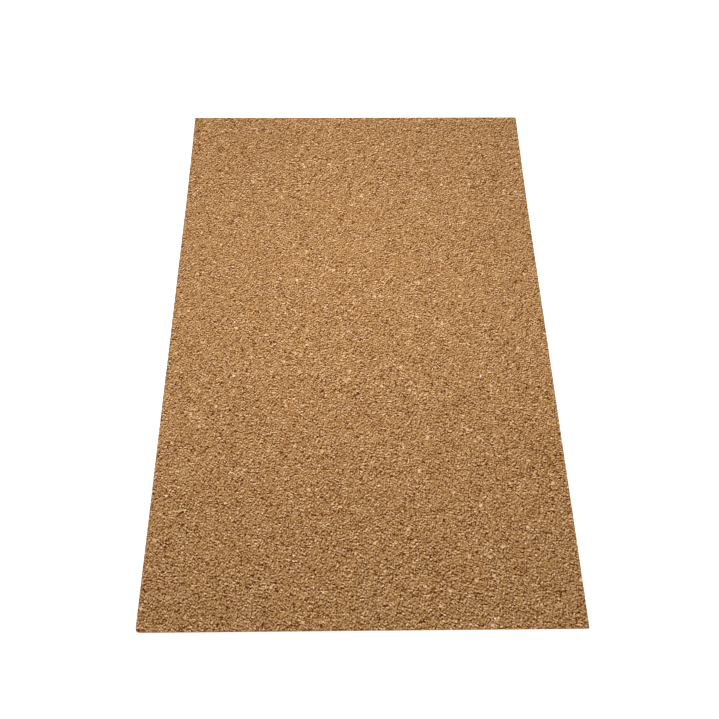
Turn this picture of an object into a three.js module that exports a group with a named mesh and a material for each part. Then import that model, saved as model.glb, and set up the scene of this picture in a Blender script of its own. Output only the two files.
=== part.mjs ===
// Rectangular cork desk mat: a granulated cork face bonded by a thin film to a non-slip rubber base.
// Millimetres, +Z up. The origin is the centre of the underside, which rests on the desk.
// +X runs along the short side and +Y along the long side, away from the person who sits at it.

import * as THREE from 'three';

// Outline of the mat, the same for every ply because the laminate is cut in one stroke.
const MAT_WIDTH = 400;
const MAT_LENGTH = 640;
const CUT_CORNER_RADIUS = 0.5;
const WORN_CORNER_RADIUS = 3;
const CORNER_STEPS = 8;

// Ply thicknesses, from the desk up. They add up to a mat 2.5 mm thick.
const BACKING_THICKNESS = 0.875;
const FILM_THICKNESS = 0.125;
const CORK_THICKNESS = 1.5;

// Heights at which the plies meet face to face.
const FILM_BOTTOM = BACKING_THICKNESS;
const CORK_BOTTOM = FILM_BOTTOM + FILM_THICKNESS;

const granulatedCork = new THREE.MeshStandardMaterial({ color: '#a77c50', roughness: 0.85, metalness: 0 });
const clearHotMelt = new THREE.MeshStandardMaterial({ color: '#c9b68c', roughness: 0.45, metalness: 0 });
const naturalRubber = new THREE.MeshStandardMaterial({ color: '#9a7748', roughness: 0.9, metalness: 0 });

// The cut outline, anticlockwise from the near left corner, which is worn rounder than the other three.
function matOutline() {
  const right = MAT_WIDTH / 2;
  const far = MAT_LENGTH / 2;
  const cut = CUT_CORNER_RADIUS;
  const worn = WORN_CORNER_RADIUS;
  const outline = new THREE.Shape();
  outline.moveTo(-right + worn, -far);
  outline.lineTo(right - cut, -far);
  outline.absarc(right - cut, -far + cut, cut, -Math.PI / 2, 0, false);
  outline.lineTo(right, far - cut);
  outline.absarc(right - cut, far - cut, cut, 0, Math.PI / 2, false);
  outline.lineTo(-right + cut, far);
  outline.absarc(-right + cut, far - cut, cut, Math.PI / 2, Math.PI, false);
  outline.lineTo(-right, -far + worn);
  outline.absarc(-right + worn, -far + worn, worn, Math.PI, 1.5 * Math.PI, false);
  return outline;
}

// One ply of the laminate: the outline extruded upwards from the given height.
function ply(name, bottom, thickness, material) {
  const geometry = new THREE.ExtrudeGeometry(matOutline(), {
    depth: thickness,
    bevelEnabled: false,
    curveSegments: CORNER_STEPS,
  });
  const mesh = new THREE.Mesh(geometry, material);
  mesh.name = name;
  mesh.position.z = bottom;
  return mesh;
}

// The base sheet grips the desk and is the face that the mat rests on.
function rubberBacking() {
  return ply('rubber_backing', 0, BACKING_THICKNESS, naturalRubber);
}

// The film is melted between the sheets and holds them together over their whole area.
function bondingFilm() {
  return ply('bonding_film', FILM_BOTTOM, FILM_THICKNESS, clearHotMelt);
}

// The cork face is the working surface.
function corkFace() {
  return ply('cork_face', CORK_BOTTOM, CORK_THICKNESS, granulatedCork);
}

const deskMat = new THREE.Group();
deskMat.add(rubberBacking(), bondingFilm(), corkFace());

export default deskMat;
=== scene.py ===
"""A rectangular desk mat of granulated cork on a thin natural-rubber base, lying on a pale floor.

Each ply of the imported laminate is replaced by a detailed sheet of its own: the cork face with its
granules and crumbly cut edges, the thin line of bonding film, and the pebbled rubber base.
Everything is in metres, with +X along the short side and +Y along the long side.
"""

import math

import bpy
import numpy as np
from mathutils import Matrix, Vector, geometry


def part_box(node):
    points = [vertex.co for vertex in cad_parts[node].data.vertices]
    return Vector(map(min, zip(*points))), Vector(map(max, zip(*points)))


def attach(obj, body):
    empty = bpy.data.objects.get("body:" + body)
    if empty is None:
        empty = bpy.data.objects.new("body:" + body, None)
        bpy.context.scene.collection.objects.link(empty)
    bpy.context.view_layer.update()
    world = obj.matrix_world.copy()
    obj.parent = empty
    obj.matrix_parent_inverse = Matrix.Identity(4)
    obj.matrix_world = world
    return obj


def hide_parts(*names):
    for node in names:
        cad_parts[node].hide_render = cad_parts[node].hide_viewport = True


MM = 0.001
SEED = 7

# How the sheet lies. Its far end keeps a little of the curl it was rolled with, from a share of the
# length onwards. Its long sides ripple, out of step with each other, and the power keeps that near them.
FAR_LIFT = 6 * MM
LIFT_STARTS_AT = 0.74
EDGE_RIPPLE = 0.35 * MM
RIPPLE_LENGTH = 230 * MM
RIPPLE_PHASE = 1.3
RIPPLE_POWER = 6

# The cut outline. One corner has been knocked round.
CUT_RADIUS = 0.5 * MM
WORN_RADIUS = 3 * MM

# Every ply's mesh. Points are shifted by up to a share of the pitch, and the cut edge has a row of
# points at each share of the thickness. The hidden side has only a few large triangles.
POINT_JITTER = 0.28
WALL_LEVELS = (0.72, 0.4, 0.0)
CAP_PITCH = 25 * MM
PLY_GAP = 0.01 * MM

# The cork surface. A point of the lattice in three stands up as the middle of a granule, and a few of
# them have come out. Crumble is how far the cut edge wanders, and edge wear how far the top rolls over.
CORK_PITCH = 1.8 * MM
GRANULE_RISE = 0.12 * MM
MISSING_SHARE = 0.004
MISSING_DEPTH = (0.1 * MM, 0.25 * MM)
EDGE_WEAR = 0.15 * MM
CRUMBLE = 0.08 * MM

# The cork's pattern. A stretch draws cells or bumps out along X by that much, a share is the part of
# the cells chosen, a radius or soft rim is in cell sizes, and an amount is how far a thing moves the
# tone, where darkest to palest is 1.
WARP = 0.49 * MM
WARP_SIZE = 1.39 * MM
GRANULE_SIZE = 0.9 * MM
GRANULE_STRETCH = 1.35
GRANULE_AMOUNT = 0.46
# These paint relief shading into the colour: a pale and a dark copy of each bump, offset along Y, as a
# lamp along Y would shade it.
RELIEF_SHADE_SIZE = 1.25 * MM
RELIEF_SHADE_STRETCH = 1.2
RELIEF_SHADE_OFFSET = 1.8 * MM
RELIEF_SHADE_SKEW = -0.25
RELIEF_SHADE_ROUGHNESS = 0.63
RELIEF_SHADE_AMOUNT = 1.34
# The gap lines are painted shade: the crevices between granules are darkened in the colour.
GAP_SPACING = 1.8 * MM
GAP_STRETCH = 2.6
GAP_WIDTH = 0.12
GAP_BREAKS = 2.0 * MM
GAP_SHADE_AMOUNT = -0.62
BIT_SIZE = 1.1 * MM
BIT_STRETCH = 2.7
PIT_SHARE = 0.1
PIT_AMOUNT = -0.58
CHIP_SHARE = 0.09
CHIP_AMOUNT = 0.28
BIT_RADIUS = 0.45
SOFT_RIM = 0.12
LIVELINESS_SIZE = 4 * MM
LIVELINESS = 0.5
WHOLE_GRANULE_SIZE = 4.6 * MM
WHOLE_GRANULE_SHARE = 0.018
WHOLE_GRANULE_RADIUS = 0.32
WHOLE_GRANULE_AMOUNT = 0.3
WHOLE_GRANULE_GRAIN = 0.4
SPECK_SIZE = 1.4 * MM
SPECK_SHARE = 0.0003
SPECK_RADIUS = 0.46
SPECK_COLOUR = (0.95, 0.94, 0.9, 1)
MEAN_TONE = 0.508
BUMP_HEIGHT = 0.3 * MM

# The cork's colours, darkest then palest: its sRGB brightness, and what each channel adds to that.
# They are seen under the light below, so they are divided by how bright it is on the cork.
CORK_BRIGHTNESS = (40, 230)
CORK_WARMTH = ((41, 30), (-10, -7.6), (-65, -50.5))
COLOUR_STEPS = 5
LIGHT_LEVEL = 1.27

# The two plies under it. Wander is how far a cut edge strays, arris how far it rolls over, and warmth
# what each channel adds to the brightness of both.
FILM_PITCH = 6 * MM
FILM_WANDER = 0.12 * MM
FILM_STREAK = 1.5 * MM
BACKING_PITCH = 3.2 * MM
BACKING_WANDER = 0.04 * MM
BACKING_ARRIS = 0.02 * MM
PEBBLE_RISE = 0.05 * MM
PEBBLE_SIZE = 0.9 * MM
RUBBER_MOTTLE = 14 * MM
RUBBER_GRAIN = 0.6 * MM
UNDER_WARMTH = (35, -8, -52)

# The stage: a white sky, one soft lamp over the mat, and a pale floor that gives off a little light.
SKY_STRENGTH = 1.05
LAMP_SIDE = 0.4
LAMP_SPREAD = 52
LAMP_ENERGY = 0.75
LAMP_PLACE = Vector((-0.03, 0.11, 1.1))
LAMP_TARGET = Vector((-0.03, 0.1, 0))
FLOOR_REACH = 12
FLOOR_GLOW = 0.25

# The camera, as a direction and distance from a point on the floor.
CAMERA_AZIMUTH = -1.513
CAMERA_ELEVATION = 56.988
CAMERA_DISTANCE = 0.9796
CAMERA_ROLL = 0.968
CAMERA_TARGET = Vector((0.0003, -0.0346, 0))
SENSOR_WIDTH = 36
LENS = 46.8


# ---------------------------------------------------------------- shape of the sheet


def resting_height(x, y, half_width, half_length):
    """How far the underside of the mat stands off the desk at each point."""
    start = -half_length + LIFT_STARTS_AT * 2 * half_length
    along = np.clip((y - start) / (half_length - start), 0, 1)
    lift = FAR_LIFT * along**2
    near_side = (np.abs(x) / half_width) ** RIPPLE_POWER
    wave = 0.5 + 0.5 * np.sin(2 * math.pi * y / RIPPLE_LENGTH + RIPPLE_PHASE * np.sign(x))
    return lift + EDGE_RIPPLE * near_side * wave


def round_corners(x, y, half_width, half_length):
    """Bends the square corners of a rectangle of points to their radii."""
    for side_x, side_y in ((-1, -1), (1, -1), (1, 1), (-1, 1)):
        radius = WORN_RADIUS if (side_x, side_y) == (-1, -1) else CUT_RADIUS
        centre_x = side_x * (half_width - radius)
        centre_y = side_y * (half_length - radius)
        dx = (x - centre_x) * side_x
        dy = (y - centre_y) * side_y
        corner = (dx > 0) & (dy > 0)
        pull = np.where(corner, np.maximum(dx, dy) / np.maximum(np.hypot(dx, dy), 1e-9), 1)
        x = centre_x + side_x * dx * pull
        y = centre_y + side_y * dy * pull
    return x, y


def lattice(half_width, half_length, pitch, rng):
    """Staggered rows of points with straight sides, and the triangles between them.

    It also says which points are the middle of a granule or pebble, and which go round the rim.
    """
    columns = round(2 * half_width / pitch)
    rows = round(2 * half_length / (pitch * math.sqrt(0.75)))
    row, column = np.mgrid[0 : rows + 1, 0 : columns + 1]
    inside_x = (column > 0) & (column < columns)
    inside_y = (row > 0) & (row < rows)
    shift = np.where((row % 2 == 1) & inside_x, 0.5, 0)
    jitter_x = rng.uniform(-POINT_JITTER, POINT_JITTER, row.shape) * inside_x
    jitter_y = rng.uniform(-POINT_JITTER, POINT_JITTER, row.shape) * inside_y
    x = -half_width + (column + shift + jitter_x) * 2 * half_width / columns
    y = -half_length + (row + jitter_y) * 2 * half_length / rows
    middle = (column - (row - row % 2) // 2 - row) % 3 == 0

    index = row * (columns + 1) + column
    a, b = index[:-1, :-1], index[:-1, 1:]
    d, c = index[1:, :-1], index[1:, 1:]
    shifted = (row[:-1, :-1] % 2 == 1)[..., None]
    first = np.where(shifted, np.stack([a, b, c], -1), np.stack([a, b, d], -1))
    second = np.where(shifted, np.stack([a, c, d], -1), np.stack([b, c, d], -1))
    triangles = np.concatenate([first.reshape(-1, 3), second.reshape(-1, 3)])

    rim = np.concatenate([index[0, :-1], index[:-1, -1], index[-1, :0:-1], index[:0:-1, 0]])
    return x.ravel(), y.ravel(), middle.ravel(), triangles, rim


def moved_in(x, y, distance):
    """Moves the points of a closed loop inwards, square to it, each by its own distance."""
    along_x = np.roll(x, -1) - np.roll(x, 1)
    along_y = np.roll(y, -1) - np.roll(y, 1)
    size = np.maximum(np.hypot(along_x, along_y), 1e-9)
    return x - along_y / size * distance, y + along_x / size * distance


def wandering(amount, count, rng):
    """How far in each point of a cut edge lies, mostly less than the amount."""
    return np.abs(rng.normal(0, amount, count))


def band_triangles(upper, lower):
    """Triangles between two closed loops of point numbers."""
    next_upper, next_lower = np.roll(upper, -1), np.roll(lower, -1)
    first = np.stack([upper, lower, next_lower], -1)
    second = np.stack([upper, next_lower, next_upper], -1)
    return [first, second]


def cap_triangles(x, y, half_width, half_length):
    """Points and triangles that fill a closed loop, for the hidden side of a ply."""
    columns = round(2 * half_width / CAP_PITCH)
    rows = round(2 * half_length / CAP_PITCH)
    inner = [
        Vector((-half_width + i * 2 * half_width / columns, -half_length + j * 2 * half_length / rows))
        for j in range(1, rows)
        for i in range(1, columns)
    ]
    loop = [Vector((float(px), float(py))) for px, py in zip(x, y)]
    count = len(loop)
    edges = [(i, (i + 1) % count) for i in range(count)]
    verts, _, faces, _, _, _ = geometry.delaunay_2d_cdt(
        loop + inner, edges, [list(range(count))], 1, 1e-7
    )
    points = np.array([(v.x, v.y) for v in verts])
    return points, np.array(faces)


def ply_mesh(name, node, rng, pitch, relief, wander, arris=0.0, fine_side="top"):
    """A closed sheet the size of one ply, with a fine lattice on one side and a plain cap on the other.

    relief(middle, rng) gives the fine side's bumps, wander moves the cut edge in and out, and arris is
    how far the fine side rolls over at the edge.
    """
    low, high = (np.array(corner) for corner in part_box(node))
    half_width, half_length = high[0], high[1]
    thickness = high[2] - low[2] - 2 * PLY_GAP
    x, y, middle, triangles, rim = lattice(half_width, half_length, pitch, rng)
    x, y = round_corners(x, y, half_width, half_length)

    # Each row of the wall wanders in and out on its own, so the cut looks torn at granule scale.
    count = len(rim)
    rim_x, rim_y = x[rim], y[rim]
    walls = [moved_in(rim_x, rim_y, wandering(wander, count, rng)) for _ in WALL_LEVELS]
    x[rim], y[rim] = moved_in(rim_x, rim_y, arris + wandering(wander, count, rng))
    z = thickness + relief(middle, rng)
    z[rim] = thickness - arris

    xs, ys, zs, faces = [x], [y], [z], [triangles]
    upper = rim
    used = len(x)
    for (wall_x, wall_y), level in zip(walls, WALL_LEVELS):
        lower = used + np.arange(count)
        xs.append(wall_x)
        ys.append(wall_y)
        zs.append(np.full(count, thickness * level))
        faces += band_triangles(upper, lower)
        upper = lower
        used += count

    points, cap_faces = cap_triangles(xs[-1], ys[-1], half_width, half_length)
    inner = points[count:]
    numbers = np.concatenate([upper, used + np.arange(len(inner))])
    xs.append(inner[:, 0])
    ys.append(inner[:, 1])
    zs.append(np.zeros(len(inner)))
    faces.append(numbers[cap_faces][:, ::-1])

    x, y, z = np.concatenate(xs), np.concatenate(ys), np.concatenate(zs)
    faces = np.concatenate(faces)
    if fine_side == "bottom":
        z = thickness - z
        faces = faces[:, ::-1]
    z = low[2] + PLY_GAP + z + resting_height(x, y, half_width, half_length)
    return mesh_object(name, np.stack([x, y, z], -1), faces)


def mesh_object(name, points, faces):
    """A smooth-shaded object from arrays of points and triangles."""
    mesh = bpy.data.meshes.new(name)
    mesh.vertices.add(len(points))
    mesh.vertices.foreach_set("co", points.astype(np.float32).ravel())
    mesh.loops.add(faces.size)
    mesh.loops.foreach_set("vertex_index", faces.astype(np.int32).ravel())
    mesh.polygons.add(len(faces))
    mesh.polygons.foreach_set("loop_start", np.arange(0, faces.size, 3, dtype=np.int32))
    mesh.update(calc_edges=True)
    mesh.validate()
    mesh.shade_smooth()
    piece = bpy.data.objects.new(name, mesh)
    bpy.context.collection.objects.link(piece)
    return piece


# ---------------------------------------------------------------- materials


def linear(value):
    """An sRGB value from 0 to 255 as a linear one from 0 to 1."""
    value = min(max(value / 255, 0), 1)
    return value / 12.92 if value <= 0.04045 else ((value + 0.055) / 1.055) ** 2.4


def tint(brightness, warmth=UNDER_WARMTH):
    """A tan of the given brightness. warmth is what its colour adds to each channel."""
    return (*(linear(brightness + w) for w in warmth), 1)


class Nodes:
    """A new material and a short way to add nodes to it."""

    def __init__(self, name):
        self.material = bpy.data.materials.new(name)
        self.material.use_nodes = True
        self.tree = self.material.node_tree
        self.shader = self.tree.nodes["Principled BSDF"]

    def add(self, kind, inputs=None, **settings):
        node = self.tree.nodes.new(kind)
        for key, value in settings.items():
            setattr(node, key, value)
        for key, value in (inputs or {}).items():
            self.feed(value, node.inputs[key])
        return node

    def feed(self, value, socket):
        if isinstance(value, bpy.types.NodeSocket):
            self.tree.links.new(value, socket)
        else:
            socket.default_value = value

    def math(self, operation, a, b=0.0, clamp=False):
        return self.add(
            "ShaderNodeMath", {0: a, 1: b}, operation=operation, use_clamp=clamp
        ).outputs[0]

    def remap(self, value, from_low, from_high, to_low=0.0, to_high=1.0):
        return self.add(
            "ShaderNodeMapRange", {0: value, 1: from_low, 2: from_high, 3: to_low, 4: to_high}
        ).outputs[0]

    def blend(self, a, b, factor):
        return self.add("ShaderNodeMix", {"Factor": factor, "A": a, "B": b}).outputs["Result"]

    def blend_colours(self, a, b, factor):
        """Its colour sockets share their names with others, so they go by number."""
        node = self.add("ShaderNodeMix", data_type="RGBA")
        for socket, value in zip((0, 6, 7), (factor, a, b)):
            self.feed(value, node.inputs[socket])
        return node.outputs[2]

    def vector(self, operation, a, b):
        return self.add("ShaderNodeVectorMath", {0: a, 1: b}, operation=operation).outputs[0]

    def voronoi(self, coords, size, feature="F1"):
        inputs = {"Vector": coords, "Scale": 1 / size}
        return self.add("ShaderNodeTexVoronoi", inputs, feature=feature)

    def random(self, cells, channel):
        """A random number for each cell, from one channel of its colour."""
        return self.add("ShaderNodeSeparateColor", {0: cells.outputs["Color"]}).outputs[channel]

    def noise(self, coords, size, detail=2.0, roughness=0.5):
        inputs = {"Vector": coords, "Scale": 1 / size, "Detail": detail, "Roughness": roughness}
        return self.add("ShaderNodeTexNoise", inputs).outputs

    def ramp(self, value, stops):
        node = self.add("ShaderNodeValToRGB", {0: value})
        elements = node.color_ramp.elements
        while len(elements) < len(stops):
            elements.new(1.0)
        for element, (position, colour) in zip(elements, stops):
            element.position = position
            element.color = colour
        return node.outputs["Color"]


def stretched(nodes, coords, factor):
    """Coordinates squeezed along X, so that what is drawn with them comes out longer that way."""
    return nodes.vector("MULTIPLY", coords, (1 / factor, 1, 1))


def warped(nodes, amount, size):
    """Object coordinates, and the same pushed about so that cells get uneven outlines."""
    coords = nodes.add("ShaderNodeTexCoord").outputs["Object"]
    offset = nodes.vector("SUBTRACT", nodes.noise(coords, size)["Color"], (0.5, 0.5, 0.5))
    moved = nodes.vector("ADD", coords, nodes.vector("MULTIPLY", offset, (amount, amount, amount)))
    return coords, moved


def granule_tones(nodes, coords):
    """Each small granule has a tone of its own, from -0.5 to 0.5 and mostly near the middle."""
    cells = nodes.voronoi(stretched(nodes, coords, GRANULE_STRETCH), GRANULE_SIZE)
    tone = nodes.math("SUBTRACT", nodes.random(cells, "Red"), 0.5)
    return nodes.math("MULTIPLY", nodes.math("POWER", tone, 3.0), 4.0)


def painted_relief_shade(nodes, coords):
    """Painted relief shading: each bump is pale on its -Y side and dark on its +Y side, as a lamp along
    Y would shade it.
    """
    behind = stretched(nodes, coords, RELIEF_SHADE_STRETCH)
    ahead = nodes.vector("ADD", behind, (RELIEF_SHADE_SKEW * RELIEF_SHADE_OFFSET, RELIEF_SHADE_OFFSET, 0))
    bumps = [nodes.noise(place, RELIEF_SHADE_SIZE, 1.0, RELIEF_SHADE_ROUGHNESS)["Fac"] for place in (ahead, behind)]
    return nodes.math("SUBTRACT", *bumps)


def shaded_gap_lines(nodes, coords, moved):
    """Painted shade in the crevices between granules: dark lines, only here and there."""
    cells = stretched(nodes, moved, GAP_STRETCH)
    edge = nodes.voronoi(cells, GAP_SPACING, "DISTANCE_TO_EDGE").outputs["Distance"]
    line = nodes.remap(edge, 0.0, GAP_WIDTH, 1.0, 0.0)
    breaks = nodes.noise(coords, GAP_BREAKS, 1.0)["Fac"]
    return nodes.math("MULTIPLY", line, nodes.remap(breaks, 0.45, 0.55))


def scattered(nodes, cells, low, high, radius):
    """1 near the middle of the cells whose random number is between low and high, and 0 elsewhere."""
    number = nodes.random(cells, "Green")
    above = nodes.math("GREATER_THAN", number, low)
    below = nodes.math("LESS_THAN", number, high)
    inside = nodes.remap(cells.outputs["Distance"], radius, radius + SOFT_RIM, 1.0, 0.0)
    return nodes.math("MULTIPLY", nodes.math("MULTIPLY", above, below), inside)


def cork_tone(nodes, coords, moved):
    """How dark or pale the cork is at each point, about zero, with its painted relief shading and
    painted gap shade.
    """
    bits = nodes.voronoi(stretched(nodes, moved, BIT_STRETCH), BIT_SIZE)
    parts = (
        (granule_tones(nodes, moved), GRANULE_AMOUNT),
        # Painted relief shading.
        (painted_relief_shade(nodes, moved), RELIEF_SHADE_AMOUNT),
        # Painted shade in the gaps between granules.
        (shaded_gap_lines(nodes, coords, moved), GAP_SHADE_AMOUNT),
        (scattered(nodes, bits, 0.0, PIT_SHARE, BIT_RADIUS), PIT_AMOUNT),
        (scattered(nodes, bits, 1 - CHIP_SHARE, 1.0, BIT_RADIUS), CHIP_AMOUNT),
    )
    tone = 0.0
    for part, amount in parts:
        tone = nodes.math("ADD", nodes.math("MULTIPLY", part, amount), tone)

    # Some patches are livelier than others.
    patch = nodes.noise(coords, LIVELINESS_SIZE, 1.0)["Fac"]
    tone = nodes.math("MULTIPLY", tone, nodes.remap(patch, 0.25, 0.75, 1 - LIVELINESS, 1 + LIVELINESS))

    # A few large granules lie whole in the surface, pale and smooth.
    whole = nodes.voronoi(moved, WHOLE_GRANULE_SIZE)
    inside = scattered(nodes, whole, 0.0, WHOLE_GRANULE_SHARE, WHOLE_GRANULE_RADIUS)
    grain = nodes.math("MULTIPLY", tone, WHOLE_GRANULE_GRAIN)
    return nodes.blend(tone, nodes.math("ADD", grain, WHOLE_GRANULE_AMOUNT), inside)


def cork_material():
    """Granulated cork, split with a knife: bits of many tones, painted relief shading, gaps darkened
    with painted shade, and white specks.
    """
    nodes = Nodes("granulated_cork")
    coords, moved = warped(nodes, WARP, WARP_SIZE)
    tone = cork_tone(nodes, coords, moved)
    place = nodes.math("ADD", tone, MEAN_TONE, clamp=True)
    places = [k / COLOUR_STEPS for k in range(COLOUR_STEPS + 1)]
    colour = nodes.ramp(place, [(k, cork_colour(k)) for k in places])
    speck = scattered(nodes, nodes.voronoi(coords, SPECK_SIZE), 0.0, SPECK_SHARE, SPECK_RADIUS)
    colour = nodes.blend_colours(colour, SPECK_COLOUR, speck)
    nodes.feed(colour, nodes.shader.inputs["Base Color"])

    bump = nodes.add("ShaderNodeBump", {"Strength": 0.6, "Distance": BUMP_HEIGHT, "Height": tone})
    nodes.feed(bump.outputs[0], nodes.shader.inputs["Normal"])
    nodes.feed(nodes.remap(tone, -0.4, 0.4, 0.95, 0.75), nodes.shader.inputs["Roughness"])
    nodes.shader.inputs["Specular IOR Level"].default_value = 0.05
    return nodes.material


def cork_colour(place):
    """The colour at a place from 0, darkest, to 1, palest. Dark cork is the redder."""
    ranges = (CORK_BRIGHTNESS, *CORK_WARMTH)
    brightness, *warmth = (dark + (pale - dark) * place for dark, pale in ranges)
    red, green, blue, _ = tint(brightness, warmth)
    return (red / LIGHT_LEVEL, green / LIGHT_LEVEL, blue / LIGHT_LEVEL, 1)


def film_material():
    """Amber hot-melt film, dull where it was cut."""
    nodes = Nodes("hot_melt_film")
    _, moved = warped(nodes, 1 * MM, 2 * MM)
    streak = nodes.noise(moved, FILM_STREAK, 3.0)["Fac"]
    colour = nodes.ramp(streak, [(0.3, tint(96)), (0.7, tint(130))])
    nodes.feed(colour, nodes.shader.inputs["Base Color"])
    nodes.feed(nodes.remap(streak, 0.3, 0.7, 0.4, 0.6), nodes.shader.inputs["Roughness"])
    bump = nodes.add("ShaderNodeBump", {"Strength": 0.4, "Distance": 0.05 * MM, "Height": streak})
    nodes.feed(bump.outputs[0], nodes.shader.inputs["Normal"])
    return nodes.material


def rubber_material():
    """Undyed natural rubber with a fine moulded pebble, mottled all over, with painted shade in the
    hollows.
    """
    nodes = Nodes("natural_rubber")
    coords, moved = warped(nodes, 0.5 * MM, 1.5 * MM)
    hollow = nodes.voronoi(moved, PEBBLE_SIZE).outputs["Distance"]
    mottle = nodes.noise(coords, RUBBER_MOTTLE, 4.0)["Fac"]
    grain = nodes.noise(coords, RUBBER_GRAIN, 3.0)["Fac"]
    value = nodes.math("ADD", nodes.math("MULTIPLY", mottle, 0.6), nodes.math("MULTIPLY", grain, 0.4))
    # The hollows between pebbles are darkened: painted shade.
    value = nodes.math("SUBTRACT", value, nodes.math("MULTIPLY", hollow, 0.3))
    colour = nodes.ramp(value, [(0.18, tint(108)), (0.36, tint(128)), (0.55, tint(144))])
    nodes.feed(colour, nodes.shader.inputs["Base Color"])
    nodes.feed(nodes.remap(grain, 0.3, 0.7, 0.78, 0.95), nodes.shader.inputs["Roughness"])
    bump = nodes.add("ShaderNodeBump", {"Strength": 0.5, "Distance": 0.15 * MM, "Height": hollow})
    bump.invert = True
    nodes.feed(bump.outputs[0], nodes.shader.inputs["Normal"])
    return nodes.material


# ---------------------------------------------------------------- the three plies


def cork_relief(middle, rng):
    """Granules stand up as low domes, with a few pits where one has come out."""
    count = len(middle)
    rise = np.where(middle, rng.uniform(0.1, 1, count), -rng.uniform(0, 0.7, count))
    height = GRANULE_RISE * (rise - 1)
    missing = middle & (rng.random(count) < MISSING_SHARE)
    height[missing] -= rng.uniform(*MISSING_DEPTH, count)[missing]
    return height


def pebble_relief(middle, rng):
    """Low pebbles moulded into the rubber."""
    count = len(middle)
    return PEBBLE_RISE * np.where(middle, 0, -rng.uniform(0.5, 1, count))


def flat_relief(middle, rng):
    """No bumps. It takes what the other reliefs take."""
    return np.zeros(len(middle))


def finish_ply(piece, node, material):
    """Gives a ply its material, hangs it under the root body and hides the part it replaces."""
    piece.data.materials.append(material)
    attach(piece, "root")
    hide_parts(node)


def make_plies(rng):
    """The three sheets, from the floor up."""
    base = ply_mesh(
        "rubber_base",
        "rubber_backing",
        rng,
        BACKING_PITCH,
        pebble_relief,
        BACKING_WANDER,
        BACKING_ARRIS,
        fine_side="bottom",
    )
    film = ply_mesh("film_layer", "bonding_film", rng, FILM_PITCH, flat_relief, FILM_WANDER)
    cork = ply_mesh("cork_sheet", "cork_face", rng, CORK_PITCH, cork_relief, CRUMBLE, EDGE_WEAR)
    finish_ply(base, "rubber_backing", rubber_material())
    finish_ply(film, "bonding_film", film_material())
    finish_ply(cork, "cork_face", cork_material())


# ---------------------------------------------------------------- floor, light and camera


def make_floor():
    """A large pale floor."""
    mesh = bpy.data.meshes.new("floor")
    corners = ((-1, -1), (1, -1), (1, 1), (-1, 1))
    points = [(side_x * FLOOR_REACH, side_y * FLOOR_REACH, 0) for side_x, side_y in corners]
    mesh.from_pydata(points, [], [(0, 1, 2, 3)])
    floor = bpy.data.objects.new("floor", mesh)
    bpy.context.collection.objects.link(floor)
    nodes = Nodes("pale_floor")
    nodes.shader.inputs["Base Color"].default_value = (0.95, 0.95, 0.95, 1)
    nodes.shader.inputs["Roughness"].default_value = 0.9
    nodes.shader.inputs["Emission Color"].default_value = (1, 1, 1, 1)
    nodes.shader.inputs["Emission Strength"].default_value = FLOOR_GLOW
    floor.data.materials.append(nodes.material)


def make_light():
    """A white sky all round, and one soft lamp over the mat."""
    world = bpy.data.worlds.new("studio")
    world.use_nodes = True
    sky = world.node_tree.nodes["Background"]
    sky.inputs["Color"].default_value = (1, 1, 1, 1)
    sky.inputs["Strength"].default_value = SKY_STRENGTH
    bpy.context.scene.world = world

    lamp = bpy.data.lights.new("softbox", "AREA")
    lamp.shape = "RECTANGLE"
    lamp.size = LAMP_SIDE
    lamp.size_y = LAMP_SIDE
    lamp.spread = math.radians(LAMP_SPREAD)
    lamp.energy = LAMP_ENERGY
    softbox = bpy.data.objects.new("softbox", lamp)
    bpy.context.collection.objects.link(softbox)
    aim(softbox, LAMP_PLACE, LAMP_TARGET)


def aim(thing, place, target, roll=0.0):
    """Puts a lamp or camera at place, looking at target with +Z of the world up."""
    turn = (target - place).to_track_quat("-Z", "Y").to_matrix().to_4x4()
    thing.matrix_world = Matrix.Translation(place) @ turn @ Matrix.Rotation(roll, 4, "Z")


def make_camera():
    """A camera that looks down at the mat from beyond its near end."""
    data = bpy.data.cameras.new("camera")
    data.sensor_width = SENSOR_WIDTH
    data.lens = LENS
    data.clip_start = 0.01
    camera = bpy.data.objects.new("camera", data)
    bpy.context.collection.objects.link(camera)
    azimuth, elevation = math.radians(CAMERA_AZIMUTH), math.radians(CAMERA_ELEVATION)
    away = Vector(
        (
            math.sin(azimuth) * math.cos(elevation),
            -math.cos(azimuth) * math.cos(elevation),
            math.sin(elevation),
        )
    )
    place = CAMERA_TARGET + CAMERA_DISTANCE * away
    aim(camera, place, CAMERA_TARGET, math.radians(CAMERA_ROLL))
    bpy.context.scene.camera = camera


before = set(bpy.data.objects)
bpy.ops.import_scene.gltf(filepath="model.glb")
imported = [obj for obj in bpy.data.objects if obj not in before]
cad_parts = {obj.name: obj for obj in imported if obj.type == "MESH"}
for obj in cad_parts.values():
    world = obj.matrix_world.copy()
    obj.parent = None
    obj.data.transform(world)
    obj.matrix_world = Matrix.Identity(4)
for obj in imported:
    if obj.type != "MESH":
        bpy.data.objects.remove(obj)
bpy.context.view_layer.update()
bpy.context.scene.view_settings.view_transform = "Standard"
make_camera()
make_light()
make_floor()
make_plies(np.random.default_rng(SEED))
